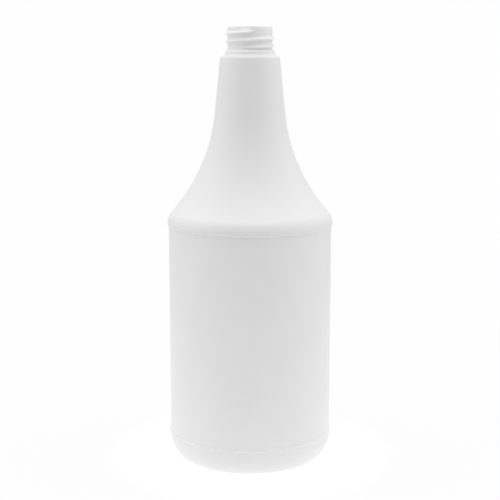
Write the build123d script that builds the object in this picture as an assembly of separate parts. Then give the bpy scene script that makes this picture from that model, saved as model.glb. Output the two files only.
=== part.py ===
from build123d import *
from math import atan2, ceil, cos, degrees, radians, sin, sqrt
import os

# Blow-moulded long neck bottle in millimetres. The origin is on the axis at the plane it stands on, and +Z
# is up. Outlines are drawn as (radius, height) and turned about Z.

# Whole bottle
HEIGHT = 244.0
WALL = 1.0

# Label panel and the two bumpers that stand proud of it
PANEL_DIAMETER = 91.74
LOWER_BUMPER_DIAMETER = 92.94
UPPER_BUMPER_DIAMETER = 93.24
STEP_HEIGHT = 0.7
UPPER_STEP_LEVEL = 134.6

# Heel and base
HEEL_HEIGHT = 15.6
HEEL_WIDTH = 10.6
HEEL_FOOT_RADIUS = 8.5
FOOT_WIDTH = 2.4
PUSH_UP = 3.6
PUSH_UP_SLOPE = 5.5
PINCH_LENGTH = 50.0
PINCH_WIDTH = 1.0
PINCH_HEIGHT = 0.5

# Shoulder and neck
SHOULDER_LEVEL = 136.9
SHOULDER_CORNER_RADIUS = 6.15
NECK_CURVE_RADIUS = 96.7
NECK_TAPER_ANGLE = 5.79
NECK_TOP_DIAMETER = 32.7

# Neck finish for a 28 mm screw closure
FINISH_HEIGHT = 15.1
FINISH_DIAMETER = 24.8
BORE_DIAMETER = 21.8
COLLAR_DIAMETER = 27.4
COLLAR_HEIGHT = 2.2
RIM_TAPER_HEIGHT = 1.8
RIM_TAPER_DEPTH = 0.25
RIM_BEVEL = 0.3
COLLAR_BEVEL = 0.7
COLLAR_FOOT_BEVEL = 0.6
LEDGE_FALL = 0.9
LEDGE_BEVEL = 0.6
LEDGE_THICKNESS = 1.7
BORE_FLARE_DROP = 1.4

# Right-handed buttress thread: a steep lower flank and an upper flank of about 45 degrees
THREAD_DIAMETER = 27.3
THREAD_PITCH = 4.233
THREAD_TURNS = 2.11
THREAD_START_ANGLE = 241.0
THREAD_START_RISE = 3.9
THREAD_WIDTH = 2.45
THREAD_UPPER_FLANK = 1.35
THREAD_LOWER_FLANK = 0.2
THREAD_TIP_SHARE = 0.35
THREAD_RUN_IN = 44.0
THREAD_RUN_OUT = 30.0
THREAD_SINK = 0.15
THREAD_ROOT = 0.5
THREAD_STATION_ANGLE = 15.0

panel_radius = PANEL_DIAMETER / 2
lower_bumper_radius = LOWER_BUMPER_DIAMETER / 2
upper_bumper_radius = UPPER_BUMPER_DIAMETER / 2
finish_radius = FINISH_DIAMETER / 2
collar_radius = COLLAR_DIAMETER / 2
bore_radius = BORE_DIAMETER / 2
neck_top_radius = NECK_TOP_DIAMETER / 2
foot_radius = lower_bumper_radius - HEEL_WIDTH
ledge_level = HEIGHT - FINISH_HEIGHT
collar_level = ledge_level + COLLAR_HEIGHT
bore_end_level = ledge_level - LEDGE_THICKNESS
flare_level = bore_end_level - BORE_FLARE_DROP
neck_taper = radians(NECK_TAPER_ANGLE)


def shoulder_centre():
    """Centre of the convex corner between the upper bumper and the slope of the shoulder."""
    return Vector(upper_bumper_radius - SHOULDER_CORNER_RADIUS, SHOULDER_LEVEL)


def neck_centre():
    """Centre of the long hollow curve, which touches both the neck's straight taper and the shoulder corner."""
    outward = Vector(cos(neck_taper), sin(neck_taper))
    down = Vector(sin(neck_taper), -cos(neck_taper))
    abreast = Vector(neck_top_radius, ledge_level) + outward * NECK_CURVE_RADIUS
    apart = abreast - shoulder_centre()
    half = down.dot(apart)
    reach = NECK_CURVE_RADIUS + SHOULDER_CORNER_RADIUS
    straight = -half - sqrt(half**2 - apart.dot(apart) + reach**2)
    return abreast + down * straight


def neck_tangent_point(inset):
    """Where the neck's straight taper meets the hollow curve, on the wall's outer or inner face."""
    outward = Vector(cos(neck_taper), sin(neck_taper))
    return neck_centre() - outward * (NECK_CURVE_RADIUS + inset)


def neck_point(level, inset):
    """Point at this height on the neck's straight taper, on the wall's outer or inner face."""
    low = neck_tangent_point(inset)
    along = (level - low.Y) / cos(neck_taper)
    return low + Vector(-sin(neck_taper), cos(neck_taper)) * along


def heel_arcs(inset):
    """Two tangent arcs that carry the flat foot round into the upright lower bumper."""
    rise = HEEL_HEIGHT - HEEL_FOOT_RADIUS
    side_radius = (HEEL_WIDTH**2 + rise**2 - HEEL_FOOT_RADIUS**2) / 2 / (HEEL_WIDTH - HEEL_FOOT_RADIUS)
    low = Vector(foot_radius, HEEL_FOOT_RADIUS)
    high = Vector(lower_bumper_radius - side_radius, HEEL_HEIGHT)
    turn = degrees(atan2(rise, low.X - high.X))
    return [
        CenterArc(low, HEEL_FOOT_RADIUS - inset, 270, 90 - turn),
        CenterArc(high, side_radius - inset, -turn, turn),
    ]


def rounding(arc, inset):
    """The arc itself on the outer face, and two straight stretches along it on the inner one, where nothing fits."""
    return Polyline(arc @ 0, arc @ 0.5, arc @ 1) if inset else arc


def body_side(inset):
    """Edges from the middle of the base up to the neck's straight taper, on the outer face or inset from it."""
    foot_inner = foot_radius - FOOT_WIDTH
    base = Polyline(
        (0, PUSH_UP + inset),
        (foot_inner - PUSH_UP_SLOPE, PUSH_UP + inset),
        (foot_inner, inset),
        (foot_radius, inset),
    )
    low = shoulder_centre()
    high = neck_centre()
    slope = degrees(atan2(high.Y - low.Y, high.X - low.X))
    corner = CenterArc(low, SHOULDER_CORNER_RADIUS - inset, 0, slope)
    curve = CenterArc(high, NECK_CURVE_RADIUS + inset, 180 + slope, NECK_TAPER_ANGLE - slope)
    panel = Polyline(
        (lower_bumper_radius - inset, HEEL_HEIGHT),
        (panel_radius - inset, HEEL_HEIGHT + STEP_HEIGHT),
        (panel_radius - inset, UPPER_STEP_LEVEL - STEP_HEIGHT / 2),
        (upper_bumper_radius - inset, UPPER_STEP_LEVEL + STEP_HEIGHT / 2),
        corner @ 0,
    )
    heel = [rounding(arc, inset) for arc in heel_arcs(inset)]
    return [base, *heel, panel, rounding(corner, inset), curve]


def bevelled(corners):
    """Points of an open outline, given as (point, bevel) pairs, with each corner cut back by its bevel."""
    points = [point for point, bevel in corners]
    cut = [points[0]]
    for before, (corner, bevel), after in zip(points, corners[1:-1], points[2:]):
        cut.append(corner + (before - corner).normalized() * bevel)
        if bevel:
            cut.append(corner + (after - corner).normalized() * bevel)
    return [*cut, points[-1]]


def finish_side():
    """Edges over the rim, from the outer face of the neck's straight taper to its inner face."""
    corners = [
        (neck_tangent_point(0), 0),
        (neck_point(ledge_level - LEDGE_FALL, 0), LEDGE_BEVEL),
        (Vector(collar_radius, ledge_level), COLLAR_FOOT_BEVEL),
        (Vector(collar_radius, collar_level), COLLAR_BEVEL),
        (Vector(finish_radius, collar_level), 0),
        (Vector(finish_radius, HEIGHT - RIM_TAPER_HEIGHT), 0),
        (Vector(finish_radius - RIM_TAPER_DEPTH, HEIGHT), RIM_BEVEL),
        (Vector(bore_radius, HEIGHT), RIM_BEVEL),
        (Vector(bore_radius, bore_end_level), 0),
        (neck_point(flare_level, WALL), 0),
        (neck_tangent_point(WALL), 0),
    ]
    return Polyline(*bevelled(corners))


def turned_wall():
    """The bottle's wall, turned from one closed outline."""
    outline = Curve() + body_side(0) + finish_side() + body_side(WALL)
    outline += Line((0, PUSH_UP), (0, PUSH_UP + WALL))
    return revolve(Plane.XZ * make_face(outline), Axis.Z)


def thread_place(turned):
    """Upright plane through the axis, at an angle and a rise along the helix."""
    rise = ledge_level + THREAD_START_RISE + THREAD_PITCH * turned / 360
    return Pos(0, 0, rise) * Rot(0, 0, THREAD_START_ANGLE + turned) * Plane.XZ.location


def thread_tip(turned):
    """Point just under the finish wall, where the ridge fades out."""
    spot = thread_place(turned) * Pos(finish_radius - THREAD_SINK)
    return Vertex(*spot.position)


def thread_station(turned, size):
    """The ridge's outline at one angle, shrunk towards the point where a ridge of no height would lie."""
    top = THREAD_WIDTH * THREAD_TIP_SHARE
    bottom = top - THREAD_WIDTH
    crest = THREAD_DIAMETER / 2
    depth = crest - finish_radius
    root = finish_radius - THREAD_ROOT
    corners = [
        Vector(root, top + THREAD_UPPER_FLANK * THREAD_ROOT / depth),
        Vector(crest, top - THREAD_UPPER_FLANK),
        Vector(crest, bottom + THREAD_LOWER_FLANK),
        Vector(root, bottom - THREAD_LOWER_FLANK * THREAD_ROOT / depth),
    ]
    tip = Vector(finish_radius - THREAD_SINK, 0)
    place = thread_place(turned)
    return Wire.make_polygon([(place * Pos(tip + (corner - tip) * size)).position for corner in corners])


def thread_ridge():
    """The helical ridge in stretches of a turn at most, fading in and out at its ends."""
    sweep = THREAD_TURNS * 360
    stretches = ceil(THREAD_TURNS)
    per_stretch = ceil(sweep / stretches / THREAD_STATION_ANGLE)
    count = stretches * per_stretch
    stations = [thread_tip(0)]
    for index in range(1, count):
        turned = sweep * index / count
        fade = min(1, turned / THREAD_RUN_IN, (sweep - turned) / THREAD_RUN_OUT)
        stations.append(thread_station(turned, sin(radians(90) * fade)))
    stations.append(thread_tip(sweep))
    starts = range(0, count, per_stretch)
    return [Solid.make_loft(stations[start : start + per_stretch + 1]) for start in starts]


def pinch_off():
    """The straight weld left under the base where the mould closed on the tube of hot plastic."""
    low = PUSH_UP - PINCH_HEIGHT
    return Pos(0, 0, low) * Box(
        PINCH_LENGTH, PINCH_WIDTH, PINCH_HEIGHT + WALL / 2, align=(Align.CENTER, Align.CENTER, Align.MIN)
    )


bottle = turned_wall() + thread_ridge() + pinch_off()
bottle = bottle.solid()
bottle.label = "bottle"

os.makedirs("parts", exist_ok=True)
export_step(bottle, "parts/bottle.step")

print(f"volume of plastic {bottle.volume / 1000:.2f} ml, valid {bottle.is_valid}")
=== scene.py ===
import math

import bpy
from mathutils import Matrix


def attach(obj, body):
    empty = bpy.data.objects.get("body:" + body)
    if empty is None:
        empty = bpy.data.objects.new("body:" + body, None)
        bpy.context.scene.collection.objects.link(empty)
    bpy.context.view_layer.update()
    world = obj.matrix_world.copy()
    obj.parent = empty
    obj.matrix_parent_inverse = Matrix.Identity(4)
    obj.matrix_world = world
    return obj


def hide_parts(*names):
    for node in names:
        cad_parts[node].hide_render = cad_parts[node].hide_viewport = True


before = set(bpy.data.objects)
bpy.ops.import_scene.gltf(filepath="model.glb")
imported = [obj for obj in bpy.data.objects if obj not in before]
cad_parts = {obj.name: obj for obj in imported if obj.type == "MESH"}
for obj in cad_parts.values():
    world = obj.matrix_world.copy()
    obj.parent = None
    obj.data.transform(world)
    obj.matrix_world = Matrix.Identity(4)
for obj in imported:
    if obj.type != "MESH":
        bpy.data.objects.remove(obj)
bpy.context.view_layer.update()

# The wall of the bottle, one skin about a millimetre thick, of white high-density polyethylene. A
# tube of hot plastic was shut in a two-part mould and blown out against it, so all is turned about
# one axis but the thread, the weld under the base and the fine parting line up both sides.
BOTTLE = "bottle"
MM = 0.001
HEIGHT = 244.0
WALL = 1.0

# Outlines are (radius, height) in millimetres. A rounding is drawn at this step and takes no more
# than this share of an edge. A bend flatter than the last value needs none.
ROUNDING_STEP = math.radians(24)
ROUNDING_SHARE = 0.49
FLAT_ENOUGH = ROUNDING_STEP / 4


def unit(start, end):
    """Direction from one point of an outline to another, and how far apart they are."""
    across = end[0] - start[0]
    up = end[1] - start[1]
    length = math.hypot(across, up)
    return across / length, up / length, length


def along(start, end, steps):
    """Points after the first on a straight stretch of an outline, at even steps."""
    across = end[0] - start[0]
    up = end[1] - start[1]
    return [
        (start[0] + across * step / steps, start[1] + up * step / steps)
        for step in range(1, steps + 1)
    ]


def swung(centre, radius, start, turn, steps):
    """Points along an arc of an outline, from a start angle through a turn, both in radians."""
    angles = [start + turn * step / steps for step in range(steps + 1)]
    return [
        (centre[0] + radius * math.cos(angle), centre[1] + radius * math.sin(angle))
        for angle in angles
    ]


def rounded(corners):
    """Points of an outline given as (radius, height, rounding), with arcs for rounded corners."""
    points = [corners[0][:2]]
    for before, corner, after in zip(corners, corners[1:], corners[2:]):
        back = unit(corner, before)
        on = unit(corner, after)
        opening = math.acos(max(-1, min(1, back[0] * on[0] + back[1] * on[1])))
        if not corner[2] or math.pi - opening < FLAT_ENOUGH:
            points.append(corner[:2])
            continue
        cut = min(corner[2] / math.tan(opening / 2), ROUNDING_SHARE * min(back[2], on[2]))
        radius = cut * math.tan(opening / 2)
        reach = radius / math.sin(opening / 2)
        middle = ((back[0] + on[0]) / 2, (back[1] + on[1]) / 2)
        scale = reach / math.hypot(*middle)
        centre = (corner[0] + middle[0] * scale, corner[1] + middle[1] * scale)
        first = (corner[0] + back[0] * cut, corner[1] + back[1] * cut)
        last = (corner[0] + on[0] * cut, corner[1] + on[1] * cut)
        start = math.atan2(first[1] - centre[1], first[0] - centre[0])
        end = math.atan2(last[1] - centre[1], last[0] - centre[0])
        turn = math.remainder(end - start, math.tau)
        steps = max(2, math.ceil(abs(turn) / ROUNDING_STEP))
        points += swung(centre, radius, start, turn, steps)
    return [*points, corners[-1][:2]]


LOWER_BUMPER_RADIUS = 46.47
HEEL_HEIGHT = 15.6
HEEL_WIDTH = 10.6
HEEL_FOOT_RADIUS = 8.5
HEEL_STEPS = 10


def heel(inset):
    """The heel's two tangent arcs, from the flat foot round into the upright lower bumper."""
    foot_radius = LOWER_BUMPER_RADIUS - HEEL_WIDTH
    rise = HEEL_HEIGHT - HEEL_FOOT_RADIUS
    overhang = HEEL_WIDTH - HEEL_FOOT_RADIUS
    side_radius = (HEEL_WIDTH**2 + rise**2 - HEEL_FOOT_RADIUS**2) / 2 / overhang
    low = (foot_radius, HEEL_FOOT_RADIUS)
    high = (LOWER_BUMPER_RADIUS - side_radius, HEEL_HEIGHT)
    turn = math.atan2(rise, low[0] - high[0])
    upright = math.pi / 2
    return [
        *swung(low, HEEL_FOOT_RADIUS - inset, -upright, upright - turn, HEEL_STEPS),
        *swung(high, side_radius - inset, -turn, turn, HEEL_STEPS)[1:],
    ]


FOOT_WIDTH = 2.4
FOOT_ROUNDING = 0.8
PUSH_UP = 3.6
PUSH_UP_SLOPE = 5.5
PUSH_UP_ROUNDING = 4.0
WELD_LENGTH = 50.0
WELD_WIDTH = 1.0
WELD_HEIGHT = 0.5
WELD_SOFTNESS = 0.2
WELD_STEPS = 10
WELD_END_STEPS = 6


def base_rows():
    """Rows of the base, from its middle to the foot ring's edge, closest at the weld's end."""
    foot_radius = LOWER_BUMPER_RADIUS - HEEL_WIDTH
    foot_inner = foot_radius - FOOT_WIDTH
    flat = foot_inner - PUSH_UP_SLOPE
    weld_end = WELD_LENGTH / 2
    beside_middle = (WELD_WIDTH / 2, PUSH_UP)
    before_end = (weld_end - 3 * WELD_SOFTNESS, PUSH_UP)
    end_starts = (weld_end - 2 * WELD_SOFTNESS, PUSH_UP)
    end_stops = (weld_end + WELD_SOFTNESS, PUSH_UP)
    edge = rounded([
        (weld_end + 2 * WELD_SOFTNESS, PUSH_UP, 0),
        (flat, PUSH_UP, PUSH_UP_ROUNDING),
        (foot_inner, 0, FOOT_ROUNDING),
        (foot_radius, 0, 0),
    ])
    return [
        (0, PUSH_UP),
        beside_middle,
        *along(beside_middle, before_end, WELD_STEPS),
        *along(end_starts, end_stops, WELD_END_STEPS),
        *edge[:-1],
    ]


PARTING_HEIGHT = 0.06
PARTING_WIDTH = 0.5
UPPER_BUMPER_RADIUS = 46.62 - PARTING_HEIGHT
SHOULDER_LEVEL = 135.6
SHOULDER_CORNER_RADIUS = 9.5
NECK_CURVE_RADIUS = 96.7
NECK_TAPER = math.radians(5.79)
NECK_TOP_RADIUS = 16.35
LEDGE_LEVEL = HEIGHT - 15.1


def neck_and_shoulder(inset, steps):
    """Points from the shoulder's corner up the hollow curve to the foot of the straight taper."""
    low = (UPPER_BUMPER_RADIUS - SHOULDER_CORNER_RADIUS, SHOULDER_LEVEL)
    outward = (math.cos(NECK_TAPER), math.sin(NECK_TAPER))
    down = (math.sin(NECK_TAPER), -math.cos(NECK_TAPER))
    abreast = (
        NECK_TOP_RADIUS + outward[0] * NECK_CURVE_RADIUS,
        LEDGE_LEVEL + outward[1] * NECK_CURVE_RADIUS,
    )
    apart = (abreast[0] - low[0], abreast[1] - low[1])
    half = down[0] * apart[0] + down[1] * apart[1]
    reach = NECK_CURVE_RADIUS + SHOULDER_CORNER_RADIUS
    straight = -half - math.sqrt(half**2 - apart[0] ** 2 - apart[1] ** 2 + reach**2)
    high = (abreast[0] + down[0] * straight, abreast[1] + down[1] * straight)
    slope = math.atan2(high[1] - low[1], high[0] - low[0])
    corner = swung(low, SHOULDER_CORNER_RADIUS - inset, 0, slope, steps // 2)
    curve = swung(high, NECK_CURVE_RADIUS + inset, math.pi + slope, NECK_TAPER - slope, steps)
    return [*corner, *curve[1:]]


def taper_point(foot, level):
    """Point at this height on the neck's straight taper, which starts at its foot."""
    return foot[0] - (level - foot[1]) * math.tan(NECK_TAPER), level


# The label panel lies back between the bumpers. A fine bead along the upper bumper's lower edge,
# with a cove above it, is the mark where the mould's panel piece ended.
PANEL_RADIUS = 45.87
PANEL_MARGIN = 1.0
PANEL_STEPS = 14
STEP_ROUNDING = 0.1
LOWER_STEP_LEVEL = 15.95
LOWER_STEP_HEIGHT = 0.16
UPPER_STEP_LEVEL = 134.35
UPPER_STEP_HEIGHT = 0.5
COVE_DEPTH = 0.24
COVE_FLANK = 0.34
COVE_ROUNDING = 0.05


def panel_rows():
    """Rows of the outer face from the lower bumper's edge to the shoulder's corner."""
    low_edge = LOWER_STEP_LEVEL - LOWER_STEP_HEIGHT / 2
    low_panel = LOWER_STEP_LEVEL + LOWER_STEP_HEIGHT / 2
    high_panel = UPPER_STEP_LEVEL - UPPER_STEP_HEIGHT / 2
    bead = UPPER_STEP_LEVEL + UPPER_STEP_HEIGHT / 2
    starts = (PANEL_RADIUS, low_panel + PANEL_MARGIN)
    stops = (PANEL_RADIUS, high_panel - PANEL_MARGIN)
    lower_step = rounded([
        (LOWER_BUMPER_RADIUS, HEEL_HEIGHT, 0),
        (LOWER_BUMPER_RADIUS, low_edge, STEP_ROUNDING),
        (PANEL_RADIUS, low_panel, STEP_ROUNDING),
        (*starts, 0),
    ])
    upper_step = rounded([
        (*stops, 0),
        (PANEL_RADIUS, high_panel, STEP_ROUNDING),
        (UPPER_BUMPER_RADIUS, bead, COVE_ROUNDING),
        (UPPER_BUMPER_RADIUS - COVE_DEPTH, bead + COVE_FLANK, COVE_ROUNDING),
        (UPPER_BUMPER_RADIUS, SHOULDER_LEVEL, 0),
    ])
    return [*lower_step, *along(starts, stops, PANEL_STEPS)[:-1], *upper_step[:-1]]


FINISH_RADIUS = 12.4
THREAD_ROUNDING = 0.2
LEDGE_FALL = 1.2
LEDGE_ROUNDING = 1.3
COLLAR_RADIUS = 13.8
COLLAR_LEVEL = LEDGE_LEVEL + 2.9
COLLAR_FALL = 1.35
COLLAR_ROUNDING = 0.8
COLLAR_FOOT_ROUNDING = 1.15
OUTER_NECK_STEPS = 28
TAPER_STEPS = 6


def skin_rows():
    """Rows of the outer face, from the foot ring's outer edge up to the top of the collar."""
    shoulder = neck_and_shoulder(0, OUTER_NECK_STEPS)
    ledge = rounded([
        (*shoulder[-1], 0),
        (*taper_point(shoulder[-1], LEDGE_LEVEL - LEDGE_FALL), LEDGE_ROUNDING),
        (COLLAR_RADIUS, LEDGE_LEVEL, COLLAR_FOOT_ROUNDING),
        (COLLAR_RADIUS, COLLAR_LEVEL - COLLAR_FALL, COLLAR_ROUNDING),
        (FINISH_RADIUS, COLLAR_LEVEL, THREAD_ROUNDING),
        (FINISH_RADIUS, COLLAR_LEVEL + THREAD_ROUNDING, 0),
    ])
    taper = along(shoulder[-1], ledge[1], TAPER_STEPS)[:-1]
    return [*heel(0)[:-1], *panel_rows(), *shoulder, *taper, *ledge[1:]]


BORE_RADIUS = 10.9
BORE_FLARE_DROP = 1.4
BORE_ROUNDING = 1.2
LEDGE_THICKNESS = 1.7
RIM_TAPER_HEIGHT = 1.8
RIM_TAPER_DEPTH = 0.25
RIM_ROUNDING = 0.4
INNER_NECK_STEPS = 14


def inside_rows():
    """Rows over the rim and down the inner face to the middle of the base."""
    shoulder = neck_and_shoulder(WALL, INNER_NECK_STEPS)
    bore_end = LEDGE_LEVEL - LEDGE_THICKNESS
    flare = taper_point(shoulder[-1], bore_end - BORE_FLARE_DROP)
    rim = rounded([
        (FINISH_RADIUS, HEIGHT - RIM_TAPER_HEIGHT, 0),
        (FINISH_RADIUS - RIM_TAPER_DEPTH, HEIGHT, RIM_ROUNDING),
        (BORE_RADIUS, HEIGHT, RIM_ROUNDING),
        (BORE_RADIUS, bore_end, BORE_ROUNDING),
        (*flare, BORE_ROUNDING),
        (*shoulder[-1], 0),
    ])
    foot_inner = LOWER_BUMPER_RADIUS - HEEL_WIDTH - FOOT_WIDTH
    floor = rounded([
        (*heel(WALL)[0], 0),
        (foot_inner, WALL, FOOT_ROUNDING),
        (foot_inner - PUSH_UP_SLOPE, PUSH_UP + WALL, PUSH_UP_ROUNDING),
        (0, PUSH_UP + WALL, 0),
    ])
    return [
        *rim,
        *shoulder[-2::-1],
        (UPPER_BUMPER_RADIUS - WALL, UPPER_STEP_LEVEL + UPPER_STEP_HEIGHT / 2),
        (PANEL_RADIUS - WALL, UPPER_STEP_LEVEL - UPPER_STEP_HEIGHT / 2),
        (PANEL_RADIUS - WALL, LOWER_STEP_LEVEL + UPPER_STEP_HEIGHT / 2),
        *heel(WALL)[::-2],
        *floor[1:],
    ]


# A right-handed thread with a steep lower flank. Heights are from the helix it climbs along, and
# both of its ends fade into the wall over part of a turn.
THREAD_PITCH = 4.233
THREAD_TURNS = 2.13
THREAD_START_ANGLE = math.radians(239)
THREAD_START_LEVEL = LEDGE_LEVEL + 3.86
THREAD_CREST = 1.25
THREAD_TOP = 0.8575
THREAD_BOTTOM = -1.4125
THREAD_UPPER_FLANK = 1.4
THREAD_LOWER_FLANK = 0.52
THREAD_ROOT_ROUNDING = 0.23
THREAD_SINK = 0.15
THREAD_RUN_IN = 66 / 360
THREAD_RUN_OUT = 26 / 360
ROOT_STEPS = 4


def coil_rows():
    """One coil's rows as (depth over the wall, height from the helix), and how many are ridge."""
    ridge = rounded([
        (0, THREAD_BOTTOM - 2 * THREAD_ROUNDING, 0),
        (0, THREAD_BOTTOM, THREAD_ROUNDING),
        (THREAD_CREST, THREAD_BOTTOM + THREAD_LOWER_FLANK, THREAD_ROUNDING),
        (THREAD_CREST, THREAD_TOP - THREAD_UPPER_FLANK, THREAD_ROUNDING),
        (0, THREAD_TOP, THREAD_ROOT_ROUNDING),
        (0, THREAD_TOP + 2 * THREAD_ROOT_ROUNDING, 0),
    ])
    root = along(ridge[-1], (0, ridge[0][1] + THREAD_PITCH), ROOT_STEPS)[:-1]
    return [*ridge, *root], len(ridge)


# What a row may take part in. It counts as inside once it is this near the bore, or past it.
MARKS = ("weld", "parting", "climbs", "coil", "fades", "inside")
BORE_TOLERANCE = 0.01


def outline_mesh():
    """The whole outline as a line of points, with attributes for what each row takes part in."""
    coil, ridge_count = coil_rows()
    bottom = COLLAR_LEVEL + THREAD_ROUNDING
    rows = [(*point, {"weld": 1}) for point in base_rows()]
    rows += [(*point, {"parting": 1}) for point in skin_rows()]
    coils = range(-1, math.ceil((HEIGHT - bottom) / THREAD_PITCH) + 1)
    for turn in coils:
        for index, (depth, offset) in enumerate(coil):
            marks = {"climbs": 1, "coil": turn, "fades": int(index < ridge_count)}
            rows.append((FINISH_RADIUS + depth, offset, marks))
    for point in inside_rows():
        past_rim = point[0] < BORE_RADIUS + BORE_TOLERANCE or point[1] < LEDGE_LEVEL
        rows.append((*point, {"inside": int(past_rim)}))
    mesh = bpy.data.meshes.new("outline")
    mesh.from_pydata([(row[0] * MM, 0, row[1] * MM) for row in rows], [], [])
    for name in MARKS:
        values = mesh.attributes.new(name, "FLOAT", "POINT")
        values.data.foreach_set("value", [row[2].get(name, 0) for row in rows])
    return mesh


def node(tree, kind, inputs=None, **settings):
    """Adds a node with its settings, fills in or links its inputs, and returns it."""
    made = tree.nodes.new(kind)
    for name, value in settings.items():
        setattr(made, name, value)
    for key, value in (inputs or {}).items():
        if isinstance(value, bpy.types.Node):
            value = value.outputs[0]
        if isinstance(value, bpy.types.NodeSocket):
            tree.links.new(value, made.inputs[key])
        else:
            made.inputs[key].default_value = value
    return made


# The grid that is turned is one unit wide about its middle, and its last column lies past this.
# The parting line runs up two sides.
LAST_COLUMN = 0.4999
SIDES = 2


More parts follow.
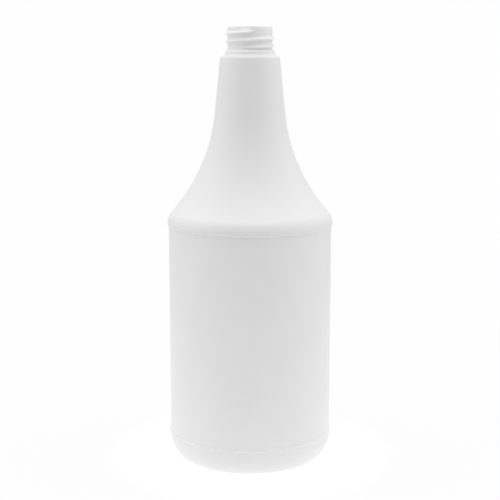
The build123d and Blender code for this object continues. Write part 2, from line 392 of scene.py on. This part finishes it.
def turning_tree(sizes):
    """Geometry nodes that turn the outline into a skin, with its thread, weld and parting line."""
    tree = bpy.data.node_groups.new("turned_skin", "GeometryNodeTree")
    tree.interface.new_socket("Geometry", in_out="INPUT", socket_type="NodeSocketGeometry")
    for name, value in sizes.items():
        kind = "NodeSocketInt" if isinstance(value, int) else "NodeSocketFloat"
        tree.interface.new_socket(name, in_out="INPUT", socket_type=kind)
    tree.interface.new_socket("Material", in_out="INPUT", socket_type="NodeSocketMaterial")
    tree.interface.new_socket("Geometry", in_out="OUTPUT", socket_type="NodeSocketGeometry")
    given = tree.nodes.new("NodeGroupInput").outputs
    math_node = "ShaderNodeMath"

    # A flat grid has a row for each point of the outline and a column for each direction.
    count = node(tree, "GeometryNodeAttributeDomainSize", {"Geometry": given["Geometry"]})
    count = count.outputs["Point Count"]
    lines = node(tree, math_node, {0: given["Columns"], 1: 1.0}, operation="ADD")
    grid = node(tree, "GeometryNodeMeshGrid",
                {"Size X": 1.0, "Size Y": 1.0, "Vertices X": lines, "Vertices Y": count})
    share = node(tree, "ShaderNodeSeparateXYZ", {0: node(tree, "GeometryNodeInputPosition")})
    last = node(tree, math_node, {0: count, 1: 1.0}, operation="SUBTRACT")
    fraction = node(tree, math_node, {0: share.outputs["Y"], 1: 0.5}, operation="ADD")
    counted = node(tree, math_node, {0: fraction, 1: last}, operation="MULTIPLY")
    row = node(tree, math_node, {0: counted}, operation="ROUND")

    def sampled(value, data_type):
        """The outline's value at this vertex's row."""
        return node(tree, "GeometryNodeSampleIndex",
                    {"Geometry": given["Geometry"], "Value": value, "Index": row},
                    data_type=data_type)

    marks = {}
    for name in MARKS:
        named = node(tree, "GeometryNodeInputNamedAttribute", {"Name": name}, data_type="FLOAT")
        marks[name] = sampled(named, "FLOAT")
    outline_position = sampled(node(tree, "GeometryNodeInputPosition"), "FLOAT_VECTOR")
    place = node(tree, "ShaderNodeSeparateXYZ", {0: outline_position})
    radius = place.outputs["X"]
    level = place.outputs["Z"]

    # Columns crowd together at the parting line, and stay as far from it where rows are narrower.
    turn = node(tree, math_node, {0: share.outputs["X"], 1: math.tau, 2: math.pi},
                operation="MULTIPLY_ADD")
    doubled = node(tree, math_node, {0: turn, 1: float(SIDES)}, operation="MULTIPLY")
    wave = node(tree, math_node, {0: doubled}, operation="SINE")
    bunch = node(tree, math_node, {0: given["Crowding"], 1: -1 / SIDES}, operation="MULTIPLY")
    angle = node(tree, math_node, {0: wave, 1: bunch, 2: turn}, operation="MULTIPLY_ADD")
    ring = node(tree, math_node, {0: radius, 1: given["Thread ring"]}, operation="MINIMUM")
    width = node(tree, "ShaderNodeMix", {0: marks["climbs"], 2: radius, 3: ring})
    wide = node(tree, math_node, {0: width, 1: given["Least radius"]}, operation="MAXIMUM")
    spread = node(tree, math_node, {0: given["Widest"], 1: wide}, operation="DIVIDE")
    sine = node(tree, math_node, {0: angle}, operation="SINE")
    cosine = node(tree, math_node, {0: angle}, operation="COSINE")
    sideways = node(tree, math_node, {0: sine, 1: spread}, operation="MULTIPLY")
    aim = node(tree, "ShaderNodeCombineXYZ", {0: cosine, 1: sideways})
    spoke = node(tree, "ShaderNodeVectorMath", {0: aim}, operation="NORMALIZE")
    reach = node(tree, "ShaderNodeSeparateXYZ", {0: spoke})

    # Rows of the thread climb with the turn. Its ridge shrinks to a line in the wall at both ends.
    bearing = node(tree, math_node, {0: reach.outputs["Y"], 1: reach.outputs["X"]},
                   operation="ARCTAN2")
    whole = node(tree, math_node, {0: bearing, 1: math.tau, 2: 0.0}, operation="WRAP")
    seam = node(tree, math_node, {0: share.outputs["X"], 1: LAST_COLUMN}, operation="GREATER_THAN")
    closed = node(tree, "ShaderNodeMix", {0: seam, 2: whole, 3: math.tau})
    begun = node(tree, math_node, {0: closed, 1: given["Thread start"]}, operation="SUBTRACT")
    turned = node(tree, math_node, {0: begun, 1: 1 / math.tau, 2: marks["coil"]},
                  operation="MULTIPLY_ADD")
    left = node(tree, math_node, {0: given["Thread turns"], 1: turned}, operation="SUBTRACT")
    run_in = node(tree, math_node, {0: turned, 1: given["Thread run in"]}, operation="DIVIDE")
    run_out = node(tree, math_node, {0: left, 1: given["Thread run out"]}, operation="DIVIDE")
    nearer = node(tree, math_node, {0: run_in, 1: run_out}, operation="MINIMUM")
    fade = node(tree, "ShaderNodeClamp", {0: nearer, 1: 0.0, 2: 1.0})
    quarter = node(tree, math_node, {0: fade, 1: math.pi / 2}, operation="MULTIPLY")
    grown = node(tree, math_node, {0: quarter}, operation="SINE")
    size = node(tree, "ShaderNodeMix", {0: marks["fades"], 2: 1.0, 3: grown})
    depth = node(tree, math_node, {0: radius, 1: given["Thread ring"]}, operation="SUBTRACT")
    sunk = node(tree, math_node, {0: depth, 1: given["Thread sink"]}, operation="ADD")
    shrunk = node(tree, math_node, {0: sunk, 1: size}, operation="MULTIPLY")
    raised = node(tree, math_node, {0: shrunk, 1: given["Thread sink"]}, operation="SUBTRACT")
    shown = node(tree, math_node, {0: raised, 1: 0.0}, operation="MAXIMUM")
    thread_radius = node(tree, math_node, {0: shown, 1: given["Thread ring"]}, operation="ADD")
    helix = node(tree, math_node, {0: turned, 1: given["Pitch"], 2: given["Thread level"]},
                 operation="MULTIPLY_ADD")
    climbing = node(tree, math_node, {0: level, 1: size, 2: helix}, operation="MULTIPLY_ADD")
    held = node(tree, "ShaderNodeClamp",
                {0: climbing, 1: given["Thread floor"], 2: given["Thread ceiling"]})
    final_radius = node(tree, "ShaderNodeMix", {0: marks["climbs"], 2: radius, 3: thread_radius})
    final_level = node(tree, "ShaderNodeMix", {0: marks["climbs"], 2: level, 3: held})

    # The parting line stands proud at the two sides, and the weld hangs down across the base.
    east = node(tree, math_node, {0: reach.outputs["X"], 1: final_radius}, operation="MULTIPLY")
    north = node(tree, math_node, {0: reach.outputs["Y"], 1: final_radius}, operation="MULTIPLY")
    off_line = node(tree, math_node, {0: north, 1: given["Parting half width"]}, operation="DIVIDE")
    squared = node(tree, math_node, {0: off_line, 1: off_line}, operation="MULTIPLY")
    crown = node(tree, math_node, {0: 1.0, 1: squared}, operation="SUBTRACT")
    ridge = node(tree, math_node, {0: crown, 1: 0.0}, operation="MAXIMUM")
    marked = node(tree, math_node, {0: ridge, 1: marks["parting"]}, operation="MULTIPLY")
    proud = node(tree, math_node, {0: marked, 1: given["Parting height"]}, operation="MULTIPLY")
    side = node(tree, math_node, {0: east}, operation="SIGN")
    pushed = node(tree, math_node, {0: proud, 1: side, 2: east}, operation="MULTIPLY_ADD")
    weld = marks["weld"]
    for reached, half in ((east, given["Weld half length"]), (north, given["Weld half width"])):
        away = node(tree, math_node, {0: reached}, operation="ABSOLUTE")
        inner = node(tree, math_node, {0: half, 1: given["Weld softness"]}, operation="SUBTRACT")
        flank = node(tree, "ShaderNodeMapRange", {0: away, 1: inner, 2: half, 3: 1.0, 4: 0.0},
                     interpolation_type="SMOOTHSTEP")
        weld = node(tree, math_node, {0: weld, 1: flank}, operation="MULTIPLY")
    hung = node(tree, math_node, {0: weld, 1: given["Weld height"]}, operation="MULTIPLY")
    lowered = node(tree, math_node, {0: final_level, 1: hung}, operation="SUBTRACT")
    position = node(tree, "ShaderNodeCombineXYZ", {0: pushed, 1: north, 2: lowered})

    known = node(tree, "GeometryNodeStoreNamedAttribute",
                 {"Geometry": grid, "Name": "inside", "Value": marks["inside"]}, data_type="FLOAT")
    turned_skin = node(tree, "GeometryNodeSetPosition", {"Geometry": known, "Position": position})
    closed_skin = node(tree, "GeometryNodeMergeByDistance",
                       {"Geometry": turned_skin, "Distance": given["Merge distance"]})
    smooth = node(tree, "GeometryNodeSetShadeSmooth", {"Geometry": closed_skin})
    real = node(tree, "GeometryNodeRealizeInstances", {"Geometry": smooth})
    dressed = node(tree, "GeometryNodeSetMaterial",
                   {"Geometry": real, "Material": given["Material"]})
    node(tree, "NodeGroupOutput", {"Geometry": dressed})
    return tree


def linear(hex_colour):
    """Linear colour of an sRGB hex value, by the sRGB standard's own curve."""
    parts = [int(hex_colour[index:index + 2], 16) / 255 for index in (1, 3, 5)]
    curved = [
        part / 12.92 if part <= 0.04045 else ((part + 0.055) / 1.055) ** 2.4 for part in parts
    ]
    return (*curved, 1.0)


# High-density polyethylene, pigmented white and blown against a mould that was sand-blasted so
# that air gets away. It gives the eye a satin white with a broad soft sheen. The finish above the
# ledge was pressed between mould and blow pin, so it is smoother. It is also thicker, so it loses
# less light and looks whiter.
BLOWN_WHITES = ("#eeeeee", "#f2f2f2")
PRESSED_WHITE = "#f5f5f5"
REFRACTION = 1.54
BLOWN_ROUGHNESS = (0.38, 0.46)
PRESSED_ROUGHNESS = 0.34
CLOUD_SIZE = 20.0
LINE_SPACING = 1.6
LINE_LENGTH = 90.0
LINE_DEPTH = 0.008
GRAIN_SIZE = 0.6
GRAIN_DEPTH = 0.05
GRAIN_STRENGTH = 0.15
GRAIN_RANGE = (0.3, 0.7)
WAVE_LENGTH = 14.0
WAVE_DEPTH = 0.08
PRESSED_EDGE = 0.2
# Strengths of the painted glow on the inner face, for the thin wall and for the thicker finish.
WALL_PAINTED_GLOW = 0.05
FINISH_PAINTED_GLOW = 0.02


def polyethylene():
    """The bottle's material, satin on the blown wall and smoother on the pressed finish."""
    material = bpy.data.materials.new("white_polyethylene_satin")
    material.use_nodes = True
    tree = material.node_tree
    tree.nodes.clear()
    place = node(tree, "ShaderNodeTexCoord").outputs["Object"]

    # Pigment and wall thickness change slowly and cloud the white very slightly.
    cloud = node(tree, "ShaderNodeTexNoise",
                 {"Vector": place, "Scale": 1 / (CLOUD_SIZE * MM), "Detail": 2.0})
    blown = node(tree, "ShaderNodeMix",
                 {0: cloud, 6: linear(BLOWN_WHITES[0]), 7: linear(BLOWN_WHITES[1])},
                 data_type="RGBA")

    # Die lines, a millimetre or two apart, were drawn along the hot tube and run up the wall.
    spacing = 1 / (LINE_SPACING * MM)
    drawn = node(tree, "ShaderNodeMapping",
                 {"Vector": place, "Scale": (spacing, spacing, 1 / (LINE_LENGTH * MM))})
    lines = node(tree, "ShaderNodeTexNoise", {"Vector": drawn, "Scale": 1.0, "Detail": 3.0})

    # The blasted grain is under 0.1 mm, too fine to show, so it is drawn at 0.6 mm.
    grain = node(tree, "ShaderNodeTexNoise",
                 {"Vector": place, "Scale": 1 / (GRAIN_SIZE * MM), "Detail": 2.0})

    # The wall cooled a little unevenly, in long waves less than a tenth of a millimetre deep.
    waves = node(tree, "ShaderNodeTexNoise",
                 {"Vector": place, "Scale": 1 / (WAVE_LENGTH * MM), "Detail": 1.0})

    level = node(tree, "ShaderNodeSeparateXYZ", {0: place}).outputs["Z"]
    pressed = node(tree, "ShaderNodeMapRange", {
        0: level,
        1: (LEDGE_LEVEL - PRESSED_EDGE) * MM,
        2: (LEDGE_LEVEL + PRESSED_EDGE) * MM,
    })
    colour = node(tree, "ShaderNodeMix",
                  {0: pressed, 6: blown.outputs[2], 7: linear(PRESSED_WHITE)}, data_type="RGBA")
    matt = node(tree, "ShaderNodeMapRange", {
        0: grain,
        1: GRAIN_RANGE[0],
        2: GRAIN_RANGE[1],
        3: BLOWN_ROUGHNESS[0],
        4: BLOWN_ROUGHNESS[1],
    })
    rough = node(tree, "ShaderNodeMix", {0: pressed, 2: matt, 3: PRESSED_ROUGHNESS})
    surface = node(tree, "ShaderNodeBump",
                   {"Height": waves, "Strength": 1.0, "Distance": WAVE_DEPTH * MM})
    surface = node(tree, "ShaderNodeBump", {
        "Height": lines,
        "Strength": 1.0,
        "Distance": LINE_DEPTH * MM,
        "Normal": surface,
    })
    surface = node(tree, "ShaderNodeBump", {
        "Height": grain,
        "Strength": GRAIN_STRENGTH,
        "Distance": GRAIN_DEPTH * MM,
        "Normal": surface,
    })

    # The inner face is given a painted glow: emission that stands in for the light coming through
    # the millimetre of wall, and less through the thicker finish, so the inside is never quite
    # dark.
    inner = node(tree, "ShaderNodeAttribute", attribute_name="inside").outputs["Fac"]
    painted_glow_level = node(tree, "ShaderNodeMix", {0: pressed, 2: WALL_PAINTED_GLOW, 3: FINISH_PAINTED_GLOW})
    glow = node(tree, "ShaderNodeMath", {0: inner, 1: painted_glow_level}, operation="MULTIPLY")
    shader = node(tree, "ShaderNodeBsdfPrincipled", {
        "Base Color": colour.outputs[2],
        "Roughness": rough,
        "IOR": REFRACTION,
        "Normal": surface,
        "Emission Color": linear("#ffffff"),
        "Emission Strength": glow,
    })
    node(tree, "ShaderNodeOutputMaterial", {"Surface": shader})
    return material


# Doubles within this many metres are merged, which closes the poles and the seam. On rows narrower
# than the least radius the columns draw in with the row.
MERGE = 0.000002
COLUMNS = 320
COLUMN_CROWDING = 0.85
COLUMN_LEAST_RADIUS = 9.0
sizes = {
    "Columns": COLUMNS,
    "Crowding": COLUMN_CROWDING,
    "Widest": UPPER_BUMPER_RADIUS * MM,
    "Least radius": COLUMN_LEAST_RADIUS * MM,
    "Thread ring": FINISH_RADIUS * MM,
    "Thread start": THREAD_START_ANGLE,
    "Thread turns": THREAD_TURNS,
    "Thread run in": THREAD_RUN_IN,
    "Thread run out": THREAD_RUN_OUT,
    "Thread sink": THREAD_SINK * MM,
    "Pitch": THREAD_PITCH * MM,
    "Thread level": THREAD_START_LEVEL * MM,
    "Thread floor": (COLLAR_LEVEL + THREAD_ROUNDING) * MM,
    "Thread ceiling": (HEIGHT - RIM_TAPER_HEIGHT) * MM,
    "Parting half width": PARTING_WIDTH / 2 * MM,
    "Parting height": PARTING_HEIGHT * MM,
    "Weld half length": WELD_LENGTH / 2 * MM,
    "Weld half width": WELD_WIDTH / 2 * MM,
    "Weld softness": WELD_SOFTNESS * MM,
    "Weld height": WELD_HEIGHT * MM,
    "Merge distance": MERGE,
}
tree = turning_tree(sizes)
outline = bpy.data.objects.new("outline", outline_mesh())
bpy.context.scene.collection.objects.link(outline)
turning = outline.modifiers.new("turning", "NODES")
turning.node_group = tree
sockets = [item for item in tree.interface.items_tree if item.in_out == "INPUT"]
identifiers = {socket.name: socket.identifier for socket in sockets}
for name, value in sizes.items():
    turning[identifiers[name]] = value
turning[identifiers["Material"]] = polyethylene()
bpy.context.view_layer.update()
evaluated = outline.evaluated_get(bpy.context.evaluated_depsgraph_get())
skin = bpy.data.meshes.new_from_object(evaluated)
skin.name = "blown_bottle"
blown_bottle = bpy.data.objects.new("blown_bottle", skin)
bpy.context.scene.collection.objects.link(blown_bottle)
bpy.data.objects.remove(outline)
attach(blown_bottle, "root")
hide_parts(BOTTLE)

# The table is a square of white acrylic with a lamp under its middle, so it glows most round the
# bottle and throws no shadow. It isn't part of the object. Its sizes are in metres.
TABLE_HALF = 0.3
TABLE_GREY = "#505050"
TABLE_ROUGHNESS = 0.9
TABLE_GLOW = 0.895
LAMP_GLOW = 0.126
LAMP_INNER = 0.04
LAMP_OUTER = 0.09
corners = [
    (-TABLE_HALF, -TABLE_HALF, 0),
    (TABLE_HALF, -TABLE_HALF, 0),
    (TABLE_HALF, TABLE_HALF, 0),
    (-TABLE_HALF, TABLE_HALF, 0),
]
table_top = bpy.data.meshes.new("table")
table_top.from_pydata(corners, [], [(0, 1, 2, 3)])
table = bpy.data.objects.new("table", table_top)
bpy.context.scene.collection.objects.link(table)
acrylic = bpy.data.materials.new("white_acrylic_lit_from_below")
acrylic.use_nodes = True
lit = acrylic.node_tree
lit.nodes.clear()
spot = node(lit, "ShaderNodeTexCoord").outputs["Object"]
from_middle = node(lit, "ShaderNodeVectorMath", {0: spot}, operation="LENGTH").outputs["Value"]
glow = node(lit, "ShaderNodeMapRange", {
    0: from_middle,
    1: LAMP_INNER,
    2: LAMP_OUTER,
    3: TABLE_GLOW + LAMP_GLOW,
    4: TABLE_GLOW,
}, interpolation_type="SMOOTHSTEP")
shader = node(lit, "ShaderNodeBsdfPrincipled", {
    "Base Color": linear(TABLE_GREY),
    "Roughness": TABLE_ROUGHNESS,
    "Specular IOR Level": 0.0,
    "Emission Color": linear("#ffffff"),
    "Emission Strength": glow,
})
node(lit, "ShaderNodeOutputMaterial", {"Surface": shader})
table_top.materials.append(acrylic)

# Soft light from all round, as in a white tent: most from overhead, then from both sides, a little
# from behind and least in front. White paper lies round the table, and a white sheet stands right
# behind the bottle. The camera itself sees plain white beyond the table.
TENT_TOP = 1.77
TENT_SIDE = 1.03
TENT_BACK = 0.25
TENT_SEEN = 0.99
PAPER = 0.44
PAPER_SIDE = 0.26
PAPER_NEAR = 0.42

# The sheet's edge and middle are given by how nearly a direction points straight back.
SHEET = 0.65
SHEET_EDGE = 0.86
SHEET_MIDDLE = 0.97
world = bpy.data.worlds.new("tent")
world.use_nodes = True
tent = world.node_tree
tent.nodes.clear()
direction = node(tent, "ShaderNodeTexCoord").outputs["Generated"]
look = node(tent, "ShaderNodeSeparateXYZ", {0: direction})
across, back, up = (look.outputs[axis] for axis in "XYZ")
behind = node(tent, "ShaderNodeMath", {0: back, 1: 0.0}, operation="MAXIMUM")
light = 0.0
for way, strength in ((up, TENT_TOP), (across, TENT_SIDE), (behind, TENT_BACK)):
    squared = node(tent, "ShaderNodeMath", {0: way, 1: way}, operation="MULTIPLY")
    light = node(tent, "ShaderNodeMath", {0: squared, 1: strength, 2: light},
                 operation="MULTIPLY_ADD")
paper = node(tent, "ShaderNodeMath", {0: up, 1: -PAPER_NEAR, 2: PAPER}, operation="MULTIPLY_ADD")
sideways = node(tent, "ShaderNodeMath", {0: across, 1: across}, operation="MULTIPLY")
paper = node(tent, "ShaderNodeMath", {0: sideways, 1: PAPER_SIDE, 2: paper},
             operation="MULTIPLY_ADD")
rises = node(tent, "ShaderNodeMath", {0: up, 1: 0.0}, operation="GREATER_THAN")
sheet = node(tent, "ShaderNodeMapRange",
             {0: back, 1: SHEET_EDGE, 2: SHEET_MIDDLE, 3: 0.0, 4: SHEET},
             interpolation_type="SMOOTHSTEP")
all_round = node(tent, "ShaderNodeMix", {0: rises, 2: paper, 3: light})
lit_tent = node(tent, "ShaderNodeMath", {0: all_round, 1: sheet}, operation="ADD")
eye = node(tent, "ShaderNodeLightPath").outputs["Is Camera Ray"]
shown = node(tent, "ShaderNodeMix", {0: eye, 2: lit_tent, 3: TENT_SEEN})
backdrop = node(tent, "ShaderNodeBackground", {"Color": shown})
node(tent, "ShaderNodeOutputWorld", {"Surface": backdrop})
bpy.context.scene.world = world
bpy.context.scene.view_settings.view_transform = "Standard"

# The camera looks slightly down at the bottle from the front. It is placed in metres, and its lens
# is given in pixels of the picture's width.
CAMERA_DISTANCE = 0.629
CAMERA_HEIGHT = 0.229
CAMERA_TILT = math.radians(9.88)
SENSOR_WIDTH = 36.0
FOCAL_PIXELS = 1123
FRAME_PIXELS = 500
camera_data = bpy.data.cameras.new("camera")
camera_data.sensor_width = SENSOR_WIDTH
camera_data.lens = SENSOR_WIDTH * FOCAL_PIXELS / FRAME_PIXELS
camera = bpy.data.objects.new("camera", camera_data)
camera.location = (0, -CAMERA_DISTANCE, CAMERA_HEIGHT)
camera.rotation_euler = (math.pi / 2 - CAMERA_TILT, 0, 0)
bpy.context.scene.collection.objects.link(camera)
bpy.context.scene.camera = camera
